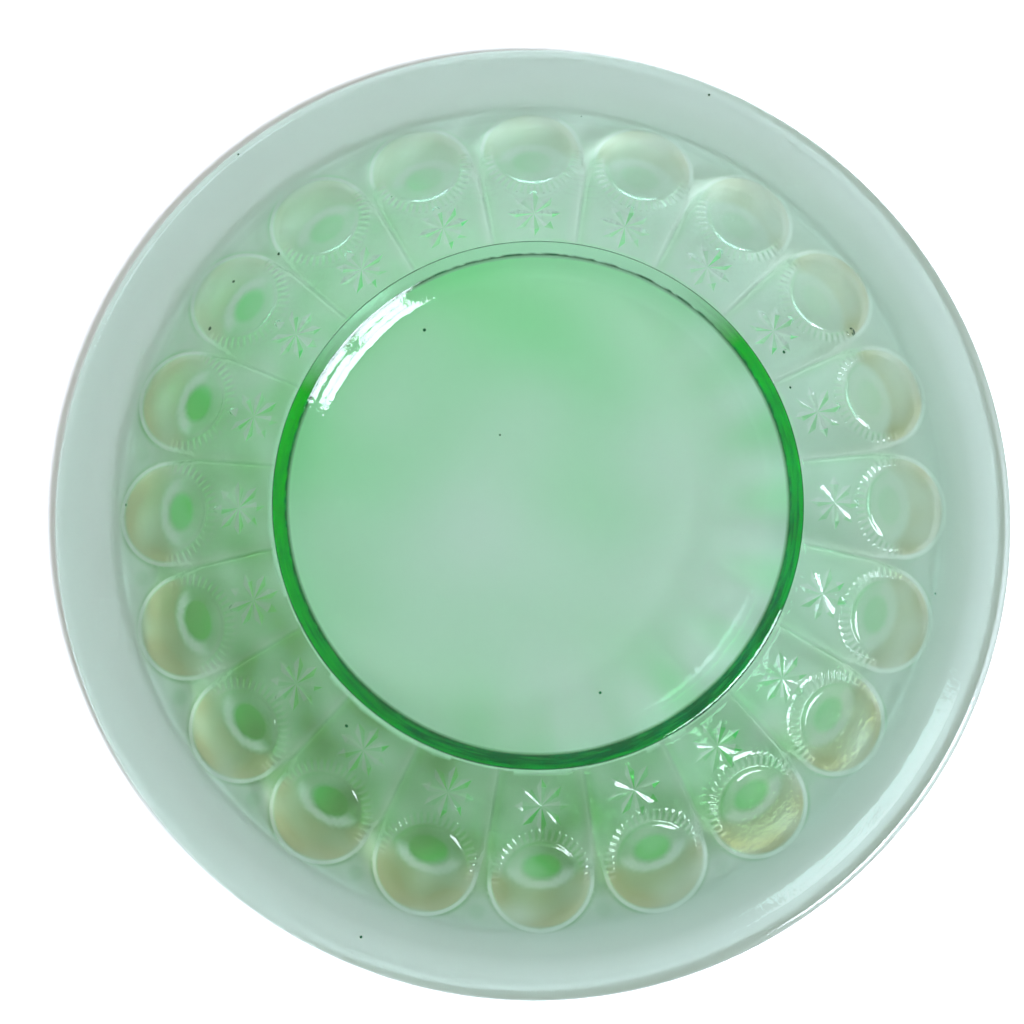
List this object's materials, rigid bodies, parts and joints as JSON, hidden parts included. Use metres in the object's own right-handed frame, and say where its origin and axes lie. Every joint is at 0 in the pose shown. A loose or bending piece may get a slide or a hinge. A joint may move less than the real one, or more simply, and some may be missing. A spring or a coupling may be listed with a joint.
{
  "type": "pressed glass dish",
  "caption": "Shallow round pressed-glass dish with a wide flange, petal-moulded outside with stars and bull's-eyes, and a ring foot. Modelled lying upside down on its rim.",
  "frame": {"origin": "on the dish's axis, in the plane that the rim rests on while the dish lies upside down", "axes": "+Z along the dish's axis, from the rim towards the foot ring; in use the dish is turned over, so +Z then points down. +X through the middle of a petal"},
  "size_m": [0.23, 0.23, 0.03],
  "materials": {
    "uranium_glass": "clear fire-polished pressed glass, pale yellow-green"
  },
  "bodies": {
    "root": {"dish": "uranium_glass"}
  },
  "joints": []
}
